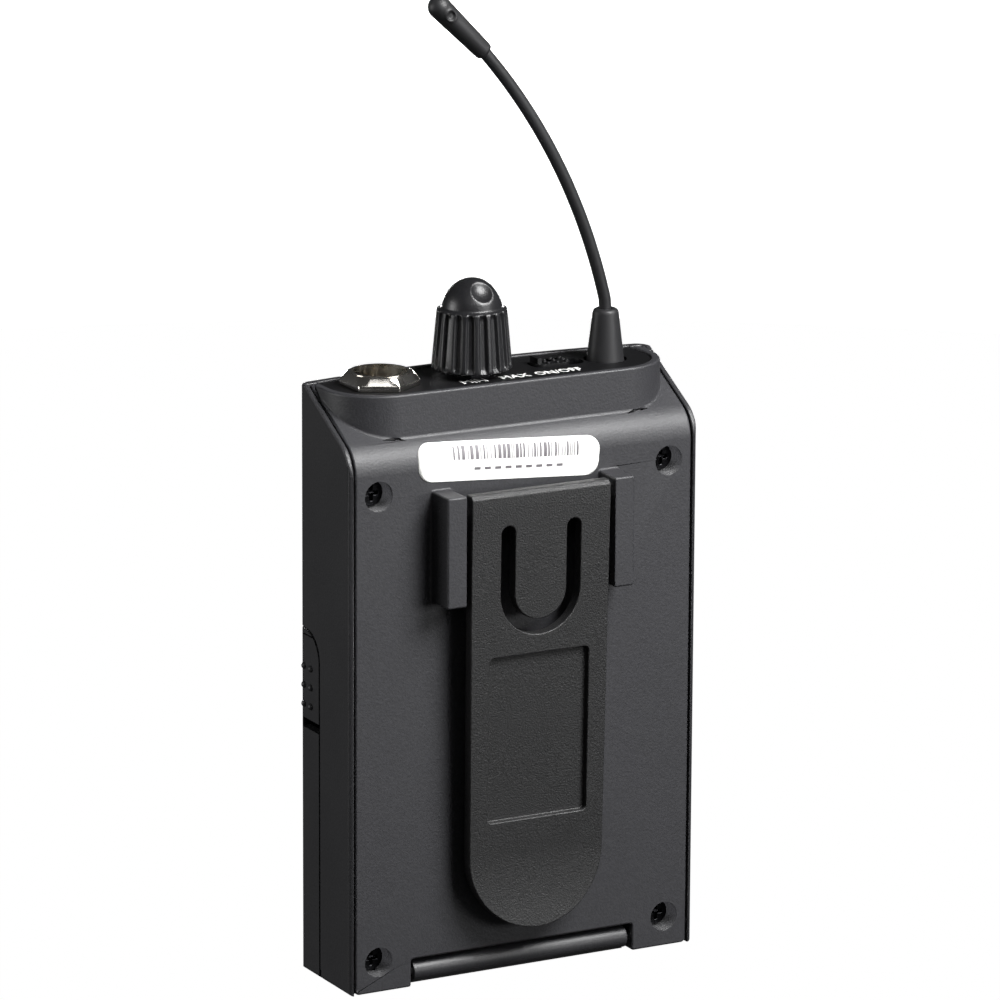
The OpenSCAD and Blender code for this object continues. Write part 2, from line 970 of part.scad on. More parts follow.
module contact_plates() {
    color("#d0d2d4")
        place() {
            box(-cell_x - 4.5, -cell_x + 4.5, cell_d - 4, cell_d + 4, 58, 58.4);
            box(cell_x - 4.5, cell_x + 4.5, cell_d - 4, cell_d + 4, 5.5, 7.5);
        }
}

module battery_leads() {
    color("#a83232")
        place()
            for (s = [-1, 1]) {
                rod_z(59.6, 63.2, s * cell_x, 10.4, 0.6);
                rod_d(6.6, 10.4, s * cell_x, 62.6, 0.6);
            }
}

module socket_leads() {
    color("#3b6fae")
        place()
            for (a = [45, 225]) {
                x = mic_x + 2.1 * cos(a);
                d = line_d + 2.1 * sin(a);
                rod_z(86.5, 89.6, x, d, 0.5);
                rod_d(6.6, d, x, 87, 0.5);
            }
}

front_shell();
rear_cover();
top_panel();
panel_marks();
battery_door();
door_pad();
latch_button_left();
latch_button_right();
latch_springs();
hinge_pin();
belt_clip();
clip_pin();
clip_spring();
label();
case_screws();
gain_knob();
pot_shaft();
pot_body();
pot_nut();
switch_button();
switch_body();
mic_socket_shell();
mic_hex_nut();
mic_insulator();
mic_pins();
antenna_boot();
antenna_whip();
antenna_tip();
antenna_ferrule();
main_board();
rf_shield();
board_chips();
board_screws();
battery_left();
battery_right();
contact_springs();
contact_plates();
battery_leads();
socket_leads();
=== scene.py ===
import json
import math
import random

import bmesh
import bpy
from mathutils import Matrix, Vector


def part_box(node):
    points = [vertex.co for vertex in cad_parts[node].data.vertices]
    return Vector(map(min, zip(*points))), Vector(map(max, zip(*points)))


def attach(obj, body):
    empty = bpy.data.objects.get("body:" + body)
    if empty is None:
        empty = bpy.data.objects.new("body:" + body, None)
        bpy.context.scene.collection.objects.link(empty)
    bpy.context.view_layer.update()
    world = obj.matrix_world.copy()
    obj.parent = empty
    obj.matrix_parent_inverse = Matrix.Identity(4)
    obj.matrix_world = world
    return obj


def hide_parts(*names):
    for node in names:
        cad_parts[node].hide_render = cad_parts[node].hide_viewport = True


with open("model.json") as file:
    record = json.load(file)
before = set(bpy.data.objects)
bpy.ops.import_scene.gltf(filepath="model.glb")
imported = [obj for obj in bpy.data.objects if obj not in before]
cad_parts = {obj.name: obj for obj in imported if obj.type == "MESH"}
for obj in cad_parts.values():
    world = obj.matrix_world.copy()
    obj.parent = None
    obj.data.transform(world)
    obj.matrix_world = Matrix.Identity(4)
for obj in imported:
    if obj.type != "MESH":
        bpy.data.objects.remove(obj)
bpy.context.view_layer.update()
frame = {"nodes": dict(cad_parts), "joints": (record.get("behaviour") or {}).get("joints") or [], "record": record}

MM = 0.001
WELD = 2e-6           # points nearer than this are one point
COARSE_WELD = 2e-5    # the same, for meshes whose every edge gets the full rounding
FLAT = 0.8            # degrees: faces nearer to one plane than this are joined
SHARP = 32.0          # degrees: edges sharper than this are rounded
NODES = frame["nodes"]
RECORD = frame["record"]
SLOT_OF = {s["node"]: s["material_slot"] for s in RECORD["subparts"]}
BODY_OF = {n: b for b, ns in RECORD["behaviour"]["bodies"].items() for n in ns}
JOINT = {j["name"]: j for j in frame["joints"]}


def corners(node):
    lo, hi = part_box(node)
    return Vector(lo), Vector(hi)


# ---------------------------------------------------------------- materials

class Graph:
    """A small wrapper that keeps node building short."""

    def __init__(self, name):
        self.mat = bpy.data.materials.new(name)
        self.mat.use_nodes = True
        self.tree = self.mat.node_tree
        self.bsdf = next(n for n in self.tree.nodes if n.type == "BSDF_PRINCIPLED")
        self.coord = self.tree.nodes.new("ShaderNodeTexCoord")

    def add(self, kind, **sockets):
        n = self.tree.nodes.new(kind)
        for key, value in sockets.items():
            n.inputs[key.replace("_", " ")].default_value = value
        return n

    def link(self, a, out, b, inp):
        self.tree.links.new(a.outputs[out], b.inputs[inp])

    def noise(self, scale, detail=3.0, rough=0.5, stretch=None):
        n = self.add("ShaderNodeTexNoise", Scale=scale, Detail=detail, Roughness=rough)
        if stretch:
            m = self.add("ShaderNodeMapping")
            m.inputs["Scale"].default_value = stretch
            self.link(self.coord, "Object", m, "Vector")
            self.link(m, "Vector", n, "Vector")
        else:
            self.link(self.coord, "Object", n, "Vector")
        return n

    def ramp(self, source, out, lo, hi, p0=0.3, p1=0.7):
        r = self.add("ShaderNodeValToRGB")
        r.color_ramp.elements[0].position = p0
        r.color_ramp.elements[1].position = p1
        r.color_ramp.elements[0].color = (*lo, 1)
        r.color_ramp.elements[1].color = (*hi, 1)
        self.link(source, out, r, "Fac")
        return r

    def spread(self, source, out, lo, hi, socket):
        m = self.add("ShaderNodeMapRange")
        m.inputs["To Min"].default_value = lo
        m.inputs["To Max"].default_value = hi
        self.link(source, out, m, "Value")
        self.link(m, "Result", self.bsdf, socket)

    def bump(self, source, out, strength, distance, under=None):
        b = self.add("ShaderNodeBump", Strength=strength, Distance=distance)
        self.link(source, out, b, "Height")
        if under:
            self.link(under, "Normal", b, "Normal")
        return b


def moulded(name, colour, rough, grain, depth, spread=0.18, spec=0.5, coat=0.0):
    """Moulded plastic: fine spark-eroded grain over a faint, broad unevenness."""
    g = Graph(name)
    g.bsdf.inputs["Specular IOR Level"].default_value = spec
    if coat:
        g.bsdf.inputs["Coat Weight"].default_value = coat
        g.bsdf.inputs["Coat Roughness"].default_value = 0.18
    fine = g.noise(grain, 4.0, 0.6)
    broad = g.noise(70.0, 3.0)
    lo = tuple(c * (1 - spread) for c in colour)
    hi = tuple(c * (1 + spread) for c in colour)
    tone = g.ramp(fine, "Fac", lo, hi, 0.32, 0.68)
    g.link(tone, "Color", g.bsdf, "Base Color")
    g.spread(broad, "Fac", rough - 0.07, rough + 0.07, "Roughness")
    first = g.bump(broad, "Fac", 0.12, 0.0004)
    b = g.bump(fine, "Fac", depth, 0.00012, first)
    g.link(b, "Normal", g.bsdf, "Normal")
    return g.mat


def metal(name, colour, rough, rings=0.0, tint=None):
    """Machined or plated metal with turning marks and uneven polish."""
    g = Graph(name)
    g.bsdf.inputs["Metallic"].default_value = 1.0
    n = g.noise(260.0, 4.0, 0.55)
    fine = g.noise(2600.0, 2.0, 0.5, (1.0, 1.0, 6.0))
    hi = tint or tuple(min(1.0, c * 1.12) for c in colour)
    tone = g.ramp(n, "Fac", tuple(c * 0.86 for c in colour), hi)
    g.link(tone, "Color", g.bsdf, "Base Color")
    g.spread(n, "Fac", rough * 0.6, rough * 1.4, "Roughness")
    b = g.bump(fine, "Fac", 0.08 + rings, 0.00006)
    g.link(b, "Normal", g.bsdf, "Normal")
    return g.mat


def rubbery(name, colour, rough):
    g = Graph(name)
    g.bsdf.inputs["Specular IOR Level"].default_value = 0.42
    dust = g.noise(900.0, 4.0, 0.65)
    broad = g.noise(60.0, 2.0)
    tone = g.ramp(broad, "Fac", tuple(c * 0.8 for c in colour), tuple(c * 1.25 for c in colour))
    g.link(tone, "Color", g.bsdf, "Base Color")
    g.spread(dust, "Fac", rough - 0.08, rough + 0.1, "Roughness")
    b = g.bump(dust, "Fac", 0.12, 0.00008)
    g.link(b, "Normal", g.bsdf, "Normal")
    return g.mat


def papery(name, colour):
    g = Graph(name)
    g.bsdf.inputs["Specular IOR Level"].default_value = 0.35
    fibres = g.noise(1500.0, 5.0, 0.7, (1.0, 1.0, 0.4))
    tone = g.ramp(fibres, "Fac", tuple(c * 0.94 for c in colour), colour)
    g.link(tone, "Color", g.bsdf, "Base Color")
    g.spread(fibres, "Fac", 0.38, 0.5, "Roughness")
    b = g.bump(fibres, "Fac", 0.05, 0.00005)
    g.link(b, "Normal", g.bsdf, "Normal")
    return g.mat


def board_look(name):
    g = Graph(name)
    weave = g.noise(420.0, 2.0)
    tracks = g.add("ShaderNodeTexVoronoi", Scale=330.0)
    tracks.distance = "MANHATTAN"
    g.link(g.coord, "Object", tracks, "Vector")
    tone = g.ramp(tracks, "Distance", (0.02, 0.16, 0.08), (0.04, 0.26, 0.13), 0.35, 0.42)
    g.link(tone, "Color", g.bsdf, "Base Color")
    g.spread(weave, "Fac", 0.3, 0.45, "Roughness")
    b = g.bump(tracks, "Distance", 0.2, 0.00005)
    g.link(b, "Normal", g.bsdf, "Normal")
    return g.mat


LOOKS = {
    "shell_black": moulded("shell_black", (0.020, 0.020, 0.022), 0.46, 2300.0, 0.35),
    "cover_black": moulded("cover_black", (0.026, 0.026, 0.029), 0.50, 2600.0, 0.45),
    "panel_black": moulded("panel_black", (0.0045, 0.0045, 0.005), 0.5, 2600.0, 0.22, 0.18, 0.16),
    "clip_black": moulded("clip_black", (0.0125, 0.0125, 0.0128), 0.46, 3300.0, 1.0, 0.5),
    "knob_black": moulded("knob_black", (0.009, 0.009, 0.010), 0.36, 2800.0, 0.3, 0.15, 0.5),
    "mark_white": moulded("mark_white", (0.82, 0.82, 0.80), 0.5, 3000.0, 0.1, 0.04),
    "label_white": papery("label_white", (0.84, 0.84, 0.82)),
    "steel": metal("steel", (0.52, 0.53, 0.54), 0.28),
    "spring_steel": metal("spring_steel", (0.56, 0.57, 0.58), 0.24),
    "screw_black": metal("screw_black", (0.035, 0.035, 0.038), 0.24),
    "nickel": metal("nickel", (0.76, 0.72, 0.66), 0.17, 0.05, (0.90, 0.88, 0.84)),
    "gold": metal("gold", (0.75, 0.55, 0.22), 0.22),
    "brass": metal("brass", (0.66, 0.48, 0.22), 0.3),
    "rubber_black": rubbery("rubber_black", (0.013, 0.013, 0.014), 0.48),
    "foam_grey": rubbery("foam_grey", (0.14, 0.14, 0.14), 0.85),
    "insulator": moulded("insulator", (0.020, 0.020, 0.022), 0.5, 2600.0, 0.2),
    "pot_grey": metal("pot_grey", (0.33, 0.34, 0.36), 0.4),
    "board_green": board_look("board_green"),
    "tin": metal("tin", (0.6, 0.62, 0.64), 0.33),
    "chip_black": moulded("chip_black", (0.022, 0.022, 0.024), 0.55, 3000.0, 0.2),
    "cell_sleeve": moulded("cell_sleeve", (0.12, 0.14, 0.17), 0.3, 800.0, 0.05, 0.1, 0.5, 0.3),
    "lead_red": rubbery("lead_red", (0.42, 0.03, 0.03), 0.45),
    "lead_blue": rubbery("lead_blue", (0.04, 0.12, 0.42), 0.45),
}
BAR_INK = moulded("bar_ink", (0.13, 0.12, 0.13), 0.5, 3000.0, 0.1, 0.1)

for node, obj in NODES.items():
    obj.data.materials.clear()
    obj.data.materials.append(LOOKS[SLOT_OF[node]])


# ---------------------------------------------------------------- mesh tools

def publish(name, bm, node, material=None, stands_in=True, smooth=True):
    """Turns a bmesh into a piece that rides with a CAD node's body and, as a rule, stands for the node."""
    me = bpy.data.meshes.new(name)
    bm.to_mesh(me)
    bm.free()
    if smooth:
        for p in me.polygons:
            p.use_smooth = True
    obj = bpy.data.objects.new(name, me)
    bpy.context.scene.collection.objects.link(obj)
    me.materials.append(material or LOOKS[SLOT_OF[node]])
    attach(obj, BODY_OF[node])
    if stands_in:
        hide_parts(node)
    return obj


def weigh(bm, skip):
    """Marks the edges that soften() will round: the sharp ones, apart from those that skip() names."""
    layer = bm.edges.layers.float.new("bevel_weight_edge")
    limit = math.radians(SHARP)
    for e in bm.edges:
        if len(e.link_faces) == 2 and e.calc_face_angle() > limit:
            if not skip((e.verts[0].co + e.verts[1].co) / 2):
                e[layer] = 1.0


def soften(obj, width, segments=3, angle=SHARP, weighed=False):
    """Rounds every sharp edge, as a mould leaves it."""
    b = obj.modifiers.new("edge_round", "BEVEL")
    b.width = width
    b.segments = segments
    b.limit_method = "WEIGHT" if weighed else "ANGLE"
    b.angle_limit = math.radians(angle)
    b.use_clamp_overlap = not weighed
    b.miter_outer = "MITER_ARC"
    b.harden_normals = False
    n = obj.modifiers.new("even_normals", "WEIGHTED_NORMAL")
    n.keep_sharp = False
    n.weight = 80


def from_cad(node, weld):
    """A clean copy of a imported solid's mesh: welded, with flat faces joined."""
    bm = bmesh.new()
    bm.from_mesh(NODES[node].data)
    bmesh.ops.remove_doubles(bm, verts=bm.verts, dist=weld)
    bmesh.ops.dissolve_limit(bm, angle_limit=math.radians(FLAT), verts=bm.verts, edges=bm.edges,
                             delimit={"NORMAL"})
    return bm


def refined(node, width, segments=3, change=None, skip=None):
    """The CAD solid with its edges rounded; with skip, every other edge gets the full width."""
    bm = from_cad(node, COARSE_WELD if skip else WELD)
    if change:
        change(bm)
    if skip:
        weigh(bm, skip)
    soften(publish(node + "_moulded", bm, node), width, segments, weighed=bool(skip))


def skin(bm, rings, closed=False):
    """Faces between each ring of points and the next."""
    for a, b in zip(rings, rings[1:] + (rings[:1] if closed else [])):
        for i in range(len(a)):
            j = (i + 1) % len(a)
            bm.faces.new((a[i], a[j], b[j], b[i]))


def slices(bm, axis, places):
    """Cuts the mesh with planes so that it can bend smoothly."""
    normal = Vector((0, 0, 0))
    normal[axis] = 1
    for p in places:
        point = Vector((0, 0, 0))
        point[axis] = p
        geom = bm.verts[:] + bm.edges[:] + bm.faces[:]
        bmesh.ops.bisect_plane(bm, geom=geom, plane_co=point, plane_no=normal, dist=1e-6)


def lathe(profile, segments, shape=None):
    """A turned body with capped ends: profile is [(radius, height)], and shape may move each point."""
    bm = bmesh.new()
    rings = []
    for r, z in profile:
        ring = []
        for i in range(segments):
            a = 2 * math.pi * i / segments
            p = Vector((r * math.cos(a), r * math.sin(a), z))
            if shape:
                p = shape(p, a, r, z)
            ring.append(bm.verts.new(p))
        rings.append(ring)
    skin(bm, rings)
    bm.faces.new(list(reversed(rings[0])))
    bm.faces.new(rings[-1])
    return bm


EAR_REACH = 5.8 * MM      # the clip ears stand this far behind the rear face
CASE_DEPTH = 21.6 * MM
INSIDE_X = 31.2 * MM      # half the width between the side walls
REAR_Y = corners("rear_cover")[0].y + EAR_REACH
CROWN_R = 196 * MM
CROWN_Y = REAR_Y + CASE_DEPTH - CROWN_R
CROWN_HALF = 30.9 * MM    # the crown ends here, at the rounded sides
CROWN_WALLS = (0, 1.3 * MM, 1.4 * MM, 1.6 * MM)   # how deep the surfaces that follow the crown lie


def crowned(bm):
    """Puts the facets of the crowned front back on their true arcs."""
    slices(bm, 0, [x * 2.2 * MM for x in range(-14, 15)])
    for v in bm.verts:
        if abs(v.co.x) > CROWN_HALF:
            continue
        reach = math.hypot(v.co.x, v.co.y - CROWN_Y)
        for wall in CROWN_WALLS:
            r = CROWN_R - wall
            if abs(reach - r) < (0.045 if wall else 0.14) * MM:
                v.co.y = CROWN_Y + math.sqrt(r * r - v.co.x ** 2)
                break


# ---------------------------------------------------------------- case

SCREW_LO, SCREW_HI = corners("case_screws")
SCREW_R = 2.3 * MM
ROOF_Z = 89.2 * MM        # the rear face turns into the roof here, on an arc
ROOF_R = 6 * MM


def outer_y(z):
    """Where the rear face and the roof lie at this height."""
    k = (z - ROOF_Z) / MM
    arc_end = 5.25
    if k <= 0:
        return REAR_Y
    if k < arc_end:
        return REAR_Y + (6 - math.sqrt(36 - k * k)) * MM
    return REAR_Y + (3.09 + 1.8 * (k - arc_end)) * MM


def in_well(p):
    """Near a screw well, or on the inside of the cover."""
    dx = abs(abs(p.x) - SCREW_HI.x + SCREW_R)
    dz = min(abs(p.z - SCREW_LO.z - SCREW_R), abs(p.z - SCREW_HI.z + SCREW_R))
    if math.hypot(dx, dz) < 4.2 * MM:
        return True
    return abs(p.x) < INSIDE_X and 4.9 * MM < p.z < 100 * MM and p.y > outer_y(p.z) + 1.2 * MM


def in_case(p):
    """Also the foot and the inside of the front shell."""
    if in_well(p) or p.z < 7 * MM:
        return True
    return abs(p.x) < INSIDE_X and p.z < 99.5 * MM and p.y < REAR_Y + 17.4 * MM


refined("front_shell", 0.25 * MM, change=crowned, skip=in_case)
refined("rear_cover", 0.4 * MM, 4, skip=in_well)
refined("battery_door", 0.35 * MM, change=crowned)
refined("latch_button_left", 0.2 * MM)
refined("latch_button_right", 0.2 * MM)
refined("top_panel", 0.15 * MM, 2, change=crowned)
refined("switch_button", 0.15 * MM, 2)
refined("case_screws", 0.12 * MM, 2)


# ---------------------------------------------------------------- belt clip

refined("belt_clip", 0.22 * MM, skip=lambda p: False)


# ---------------------------------------------------------------- knob

def build_knob():
    """A fluted skirt under a dome, with a finger dimple."""
    lo, hi = corners("gain_knob")
    cx, cy = JOINT["knob_turn"]["pos_m"][0], JOINT["knob_turn"]["pos_m"][1]
    h = hi.z - lo.z
    foot = 6.8 * MM
    edge = 0.12 * MM
    shoulder = h - 5.2 * MM
    step = 0.55 * MM
    top_r = 5.9 * MM
    dome_r = 5.05 * MM
    flutes = 18

    profile = [(5.4 * MM, 1.6 * MM), (5.4 * MM, 0.1 * MM), (5.6 * MM, 0.0), (foot - edge, 0.0), (foot, edge)]
    for i in range(1, 25):
        t = i / 24
        profile.append((foot + (top_r - foot) * t, edge + (shoulder - edge) * t))
    for i in range(1, 7):
        t = i / 6
        profile.append((top_r + (dome_r - top_r) * math.sin(t * math.pi / 2),
                        shoulder + step * (1 - math.cos(t * math.pi / 2))))
    rise = h - shoulder - step
    for i in range(1, 19):
        t = i / 18 * math.pi / 2
        profile.append((max(dome_r * (math.cos(t) - 0.045 * math.sin(2 * t)), 0.02 * MM),
                        shoulder + step + rise * math.sin(t)))

    aim = math.radians(-89)
    centre = Vector((5.5 * math.cos(aim), 5.5 * math.sin(aim), 0)) * MM
    centre.z = h + 0.1 * MM
    dent = 3.55 * MM

    def shape(p, a, r, z):
        """Cuts the flutes, arched at their tops, and then the dimple."""
        if 0.1 * MM < z < shoulder + 0.6 * MM and r > 5.0 * MM:
            wave = math.cos(flutes * a)
            q = min(1.0, max(0.0, (z - shoulder + 1.5 * MM) / (1.5 * MM)))
            arch = 1.3 * (1 - math.sqrt(1 - q * q))
            cut = 0.5 + 0.5 * math.tanh(3.2 * (wave + 0.15 - arch))
            end = min(1.0, max(0.0, (shoulder + 0.1 * MM - z) / (0.9 * MM)))
            start = min(1.0, max(0.0, z / (0.6 * MM)))
            depth = 0.62 * MM * cut * math.sqrt(end) * start
            k = (r - depth) / r
            p = Vector((p.x * k, p.y * k, z))
        d = p - centre
        if d.length < dent:
            p = centre + d.normalized() * dent
        return p

    bm = lathe(profile, flutes * 20, shape)
    bmesh.ops.translate(bm, verts=bm.verts, vec=Vector((cx, cy, lo.z)))
    bmesh.ops.recalc_face_normals(bm, faces=bm.faces)
    publish("gain_knob_fluted", bm, "gain_knob")


build_knob()


# ---------------------------------------------------------------- socket nut

def build_nut():
    lo, hi = corners("mic_hex_nut")
    c = (lo + hi) / 2
    h = hi.z - lo.z
    bore = 5.12 * MM
    turn = math.radians(32)
    n = 192
    full = 2.4

    # height, distance of the flats, radius of the turned corners
    rows = [(0.0, 5.78, 6.6), (0.1, 5.88, 6.72), (1.0, 5.88, 6.72), (1.14, 5.82, 6.66),
            (2.22, 5.34, 5.62), (full, 5.22, 5.46)]
    bm = bmesh.new()
    angles = [2 * math.pi * i / n for i in range(n)]
    rings = []
    for z, flat, corner in rows:
        ring = []
        for a in angles:
            b = (a - turn) % (math.pi / 3) - math.pi / 6
            r = min(flat / math.cos(b), corner) * MM
            ring.append(bm.verts.new((c.x + r * math.cos(a), c.y + r * math.sin(a), lo.z + z / full * h)))
        rings.append(ring)
    for r, z in ((bore + 0.04 * MM, h), (bore, h - 0.06 * MM), (bore, 0.0)):
        rings.append([bm.verts.new((c.x + r * math.cos(a), c.y + r * math.sin(a), lo.z + z)) for a in angles])
    skin(bm, rings, closed=True)
    bmesh.ops.recalc_face_normals(bm, faces=bm.faces)
    soften(publish("mic_hex_nut_turned", bm, "mic_hex_nut"), 0.06 * MM, 2, 25.0)


build_nut()


# ---------------------------------------------------------------- antenna

def tube(points, radius, sides=28):
    """A round tube along points, with closed ends."""
    bm = bmesh.new()
    rings = []
    for i, p in enumerate(points):
        a = points[max(0, i - 1)]
        b = points[min(len(points) - 1, i + 1)]
        t = (b - a).normalized()
        side = Vector((0, 1, 0))
        other = t.cross(side).normalized()
        rings.append([bm.verts.new(p + radius * (math.cos(q) * other + math.sin(q) * side))
                      for q in (2 * math.pi * k / sides for k in range(sides))])
    skin(bm, rings)
    bm.faces.new(list(reversed(rings[0])))
    bm.faces.new(rings[-1])
    bmesh.ops.recalc_face_normals(bm, faces=bm.faces)
    return bm


def build_antenna():
    blo, bhi = corners("antenna_boot")
    cx, cy = (blo.x + bhi.x) / 2, (blo.y + bhi.y) / 2
    bend = 104 * MM
    a0, a1 = math.radians(13.5), math.radians(42)
    ring_z = corners("gain_knob")[0].z + 8.3 * MM

    def on_arc(a):
        """A point on the bend of the whip, which starts to lean inside the boot."""
        return Vector((cx - bend * (math.cos(a0) - math.cos(a)), cy,
                       ring_z + bend * (math.sin(a) - math.sin(a0))))

    pts = [Vector((cx, cy, bhi.z - z * MM)) for z in (7.5, 5.0, 2.6, 1.2)]
    pts += [on_arc(a0 + (a1 - a0) * i / 60) for i in range(1, 61)]
    whip_r = 1.05
    publish("antenna_whip_bent", tube(pts, whip_r * MM), "antenna_whip")

    # collar, cone and rounded mouth of the boot: radius and height in millimetres
    h = (bhi.z - blo.z) / MM
    foot_r, foot_z, neck_r, neck_z = 3.25, 1.95, 2.25, 10.4
    prof = [(whip_r, 0.0), (3.65, 0.0), (3.65, 1.7), (3.62, 1.8), (3.5, 1.85), (3.27, 1.87), (foot_r, foot_z)]
    for i in range(1, 13):
        t = i / 12
        prof.append((foot_r + (neck_r - foot_r) * t, foot_z + (neck_z - foot_z) * t))
    prof += [(2.2, 10.75), (2.08, 11.0), (1.85, 11.2), (1.5, h), (1.2, h - 0.05), (whip_r, h - 0.35),
             (whip_r, 6.0)]
    bm = lathe([(r * MM, z * MM) for r, z in prof], 72)
    bmesh.ops.translate(bm, verts=bm.verts, vec=Vector((cx, cy, blo.z)))
    bmesh.ops.recalc_face_normals(bm, faces=bm.faces)
    publish("antenna_boot_moulded", bm, "antenna_boot")

    end = on_arc(a1)
    lean = math.radians(-46)
    cap_foot, cap_top, cap_long = 1.58, 1.95, 11.2
    prof = [(1.0, 0.3), (1.1, -0.5), (1.3, -0.6), (1.5, -0.4), (cap_foot, 0.0)]
    for i in range(1, 57):
        prof.append((cap_foot + (cap_top - cap_foot) * i / 56, cap_long * i / 56))
    for i in range(1, 13):
        t = i / 12 * math.radians(89)
        prof.append((cap_top * math.cos(t), cap_long + cap_top * math.sin(t)))

    def dimple(p, a, r, z):
        """A small ringed dent on the side of the cap."""
        gap = math.hypot(p.x, z - 9.4 * MM) / MM
        if p.y > 0 or gap > 1.5:
            return p
        dent = 0.42 * MM * max(0.0, 1 - (gap / 0.75) ** 4) if gap < 0.75 else 0.0
        lip = 0.14 * MM * math.exp(-((gap - 1.0) / 0.17) ** 2)
        return Vector((p.x, p.y + dent - lip, p.z))

    bm = lathe([(r * MM, z * MM) for r, z in prof], 160, dimple)
    bmesh.ops.transform(bm, matrix=Matrix.Translation(end) @ Matrix.Rotation(lean, 4, "Y"), verts=bm.verts)
    bmesh.ops.recalc_face_normals(bm, faces=bm.faces)
    publish("antenna_tip_moulded", bm, "antenna_tip")


build_antenna()


# ---------------------------------------------------------------- label

def roof_point(x, s, lift):
    """A point on the rear face of the case; s runs up the face and over its rounded top."""
    if s <= ROOF_Z:
        return Vector((x, REAR_Y - lift, s))
    a = min((s - ROOF_Z) / ROOF_R, math.radians(61))
    out = ROOF_R + lift
    return Vector((x, REAR_Y + ROOF_R - out * math.cos(a), ROOF_Z + out * math.sin(a)))


LABEL_AT = Vector((-3.05 * MM, 89.55 * MM))
LABEL_TURN = math.radians(-4.1)
LABEL_HALF = (17.05 * MM, 3.4 * MM)
LABEL_ROUND = 2.4 * MM
LABEL_LIFT = 0.08 * MM
INK_LIFT = 0.12 * MM


def on_label(u, v, lift):
    """A point of the label's plane, bent over the case."""
    x = LABEL_AT.x + u * math.cos(LABEL_TURN) - v * math.sin(LABEL_TURN)
    s = LABEL_AT.y + u * math.sin(LABEL_TURN) + v * math.cos(LABEL_TURN)
    return roof_point(x, s, lift)


def build_label():
    a, b = LABEL_HALF
    r = LABEL_ROUND
    cols, side = 40, 7    # columns, and rows in each rounded end
    vs = [-b + r * (1 - math.cos(math.radians(90 * i / side))) for i in range(side)]
    vs += [-b + r + (2 * b - 2 * r) * i / 4 for i in range(4)]
    vs += [b - r * (1 - math.cos(math.radians(90 * i / side))) for i in range(side, -1, -1)]
    bm = bmesh.new()
    grid = []
    for v in vs:
        over = max(0.0, abs(v) - (b - r))
        half = a - r + math.sqrt(max(0.0, r * r - over * over))
        grid.append([bm.verts.new(on_label(-half + 2 * half * i / cols, v, LABEL_LIFT))
                     for i in range(cols + 1)])
    for p, q in zip(grid, grid[1:]):
        for i in range(cols):
            bm.faces.new((p[i], p[i + 1], q[i + 1], q[i]))
    # the thin edge of the sheet reaches almost down to the case
    loop = grid[0][:] + [row[-1] for row in grid[1:-1]] + grid[-1][::-1] + [row[0] for row in grid[-2:0:-1]]
    gap = 0.01 * MM
    under = []
    for v in loop:
        if v.co.z <= ROOF_Z:
            under.append(bm.verts.new((v.co.x, v.co.y + LABEL_LIFT - gap, v.co.z)))
        else:
            hub = Vector((v.co.x, REAR_Y + ROOF_R, ROOF_Z))
            under.append(bm.verts.new(hub + (v.co - hub).normalized() * (ROOF_R + gap)))
    for i in range(len(loop)):
        j = (i + 1) % len(loop)
        bm.faces.new((loop[i], under[i], under[j], loop[j]))
    bmesh.ops.remove_doubles(bm, verts=bm.verts, dist=1e-7)
    bmesh.ops.recalc_face_normals(bm, faces=bm.faces)
    publish("label_sheet", bm, "label")


def strokes(bm, u0, u1, v0, v1, rows):
    """One printed stroke, following the curve of the label."""
    ends = []
    for i in range(rows + 1):
        v = v0 + (v1 - v0) * i / rows
        ends.append((bm.verts.new(on_label(u0, v, INK_LIFT)), bm.verts.new(on_label(u1, v, INK_LIFT))))
    for p, q in zip(ends, ends[1:]):
        bm.faces.new((p[0], p[1], q[1], q[0]))


def build_print():
    """Made-up bars and a row of plain dashes, which spell nothing."""
    rnd = random.Random(11)
    bm = bmesh.new()
    u = -10.6 * MM
    while u < 12.9 * MM:
        w = rnd.choice((0.16, 0.16, 0.34, 0.34, 0.6)) * MM
        strokes(bm, u, u + w, 0.15 * MM, 2.5 * MM, 6)
        u += w + rnd.choice((0.2, 0.28, 0.28, 0.4, 0.55)) * MM
    for i in range(9):
        u = -6.6 * MM + 1.95 * MM * i
        strokes(bm, u, u + 1.15 * MM, -1.6 * MM, -1.15 * MM, 2)
    bmesh.ops.recalc_face_normals(bm, faces=bm.faces)
    publish("label_bars", bm, "label", material=BAR_INK, stands_in=False)


build_label()
build_print()


# ---------------------------------------------------------------- lettering beside the controls

def build_marks():
    """Plain control words, as raised ink on the top panel."""
    top = corners("top_panel")[1].z
    tall = 2.15
    ahead = 6.55
    bm = bmesh.new()
    for word, x0, x1 in (("MIN", -8.1, -3.6), ("MAX", -0.7, 4.7), ("ON/OFF", 5.9, 14.6)):
        curve = bpy.data.curves.new("word", "FONT")
        curve.body = word
        curve.size = 3.0
        curve.offset = 0.035
        curve.extrude = 0.02
        curve.resolution_u = 4
        holder = bpy.data.objects.new("word", curve)
        mesh = bpy.data.meshes.new_from_object(holder)
        xs = [v.co.x for v in mesh.vertices]
        ys = [v.co.y for v in mesh.vertices]
        kx = (x1 - x0) / (max(xs) - min(xs))
        ky = tall / (max(ys) - min(ys))
        for v in mesh.vertices:
            v.co = ((x0 + (v.co.x - min(xs)) * kx) * MM,
                    REAR_Y + (ahead + (v.co.y - min(ys)) * ky) * MM,
                    top + (0.02 + v.co.z) * MM)
        bm.from_mesh(mesh)
        bpy.data.objects.remove(holder)
        bpy.data.curves.remove(curve)
        bpy.data.meshes.remove(mesh)
    publish("panel_words", bm, "panel_marks", smooth=False)


build_marks()


# ---------------------------------------------------------------- room, light, camera

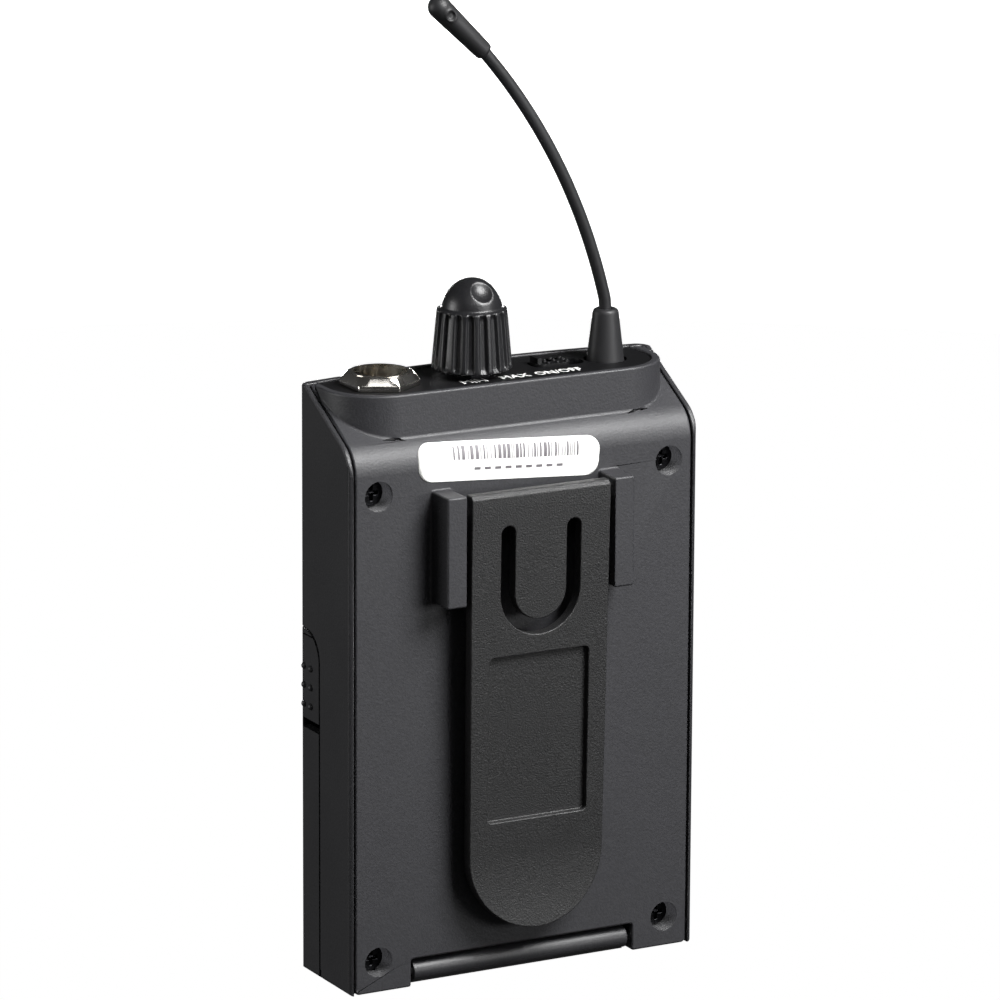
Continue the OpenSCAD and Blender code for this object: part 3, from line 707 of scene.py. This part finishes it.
def build_stage():
    """A pale floor that curves up into a dome around the scene."""
    bm = bmesh.new()
    flat_r, curve_r, dome_r = 1.6, 0.9, 2.5
    prof = [(0.5, 0.0), (flat_r, 0.0)]
    for i in range(1, 13):
        t = i / 12 * math.pi / 2
        prof.append((flat_r + curve_r * math.sin(t), curve_r - curve_r * math.cos(t)))
    for i in range(1, 12):
        t = i / 12 * math.pi / 2
        prof.append((dome_r * math.cos(t), curve_r + dome_r * math.sin(t)))
    seg = 64
    rings = [[bm.verts.new((r * math.cos(2 * math.pi * k / seg), r * math.sin(2 * math.pi * k / seg), z))
              for k in range(seg)] for r, z in prof]
    skin(bm, rings)
    bm.faces.new(rings[0])
    me = bpy.data.meshes.new("floor")
    bm.to_mesh(me)
    bm.free()
    for p in me.polygons:
        p.use_smooth = True
    obj = bpy.data.objects.new("floor", me)
    bpy.context.scene.collection.objects.link(obj)
    obj.location = (0, 0, -0.0002)
    obj.visible_diffuse = False
    obj.visible_glossy = False
    obj.visible_transmission = False
    g = Graph("floor_white")
    n = g.noise(6.0)
    tone = g.ramp(n, "Fac", (0.88, 0.88, 0.88), (0.92, 0.92, 0.92))
    g.link(tone, "Color", g.bsdf, "Base Color")
    g.bsdf.inputs["Roughness"].default_value = 0.9
    g.bsdf.inputs["Emission Color"].default_value = (1, 1, 1, 1)
    g.bsdf.inputs["Emission Strength"].default_value = 1.0
    me.materials.append(g.mat)


def area(name, place, aim, size, power):
    data = bpy.data.lights.new(name, "AREA")
    data.shape = "RECTANGLE"
    data.size, data.size_y = size
    data.energy = power
    obj = bpy.data.objects.new(name, data)
    bpy.context.scene.collection.objects.link(obj)
    obj.location = place
    obj.rotation_euler = (Vector(aim) - Vector(place)).to_track_quat("-Z", "Y").to_euler()


def build_lights():
    area("key", (0.16, -0.30, 0.43), (0, 0, 0.06), (0.26, 0.26), 6.2)
    area("card", (0.46, -0.88, 0.2), (0, 0, 0.06), (0.4, 0.2), 2.6)
    area("glint", (-0.33, -0.62, 0.55), (0, 0, 0.1), (0.2, 0.2), 0.3)
    area("side", (-0.9, 0.3, 0.2), (0, 0, 0.07), (0.4, 0.4), 4.0)
    area("back", (0.5, 1.0, 0.02), (0, 0, 0.05), (0.7, 0.14), 9.0)
    world = bpy.data.worlds.new("studio")
    bpy.context.scene.world = world
    world.use_nodes = True
    bg = world.node_tree.nodes["Background"]
    bg.inputs["Color"].default_value = (1, 1, 1, 1)
    bg.inputs["Strength"].default_value = 0.05


def build_camera():
    az, el, roll = math.radians(-28.402), math.radians(14.2066), math.radians(0.2866)
    back = Vector((math.sin(az) * math.cos(el), -math.cos(az) * math.cos(el), math.sin(el)))
    data = bpy.data.cameras.new("camera")
    data.sensor_width = 36.0
    data.lens = 239.25096
    data.clip_start, data.clip_end = 0.05, 20
    cam = bpy.data.objects.new("camera", data)
    bpy.context.scene.collection.objects.link(cam)
    cam.location = Vector((-0.5667 * MM, 0, 80.3933 * MM)) + back * 1.1153
    cam.rotation_mode = "QUATERNION"
    cam.rotation_quaternion = (-back).to_track_quat("-Z", "Y")
    cam.rotation_quaternion = cam.rotation_quaternion @ Matrix.Rotation(roll, 4, "Z").to_quaternion()
    bpy.context.scene.camera = cam


build_stage()
build_lights()
build_camera()
bpy.context.scene.view_settings.view_transform = "Standard"
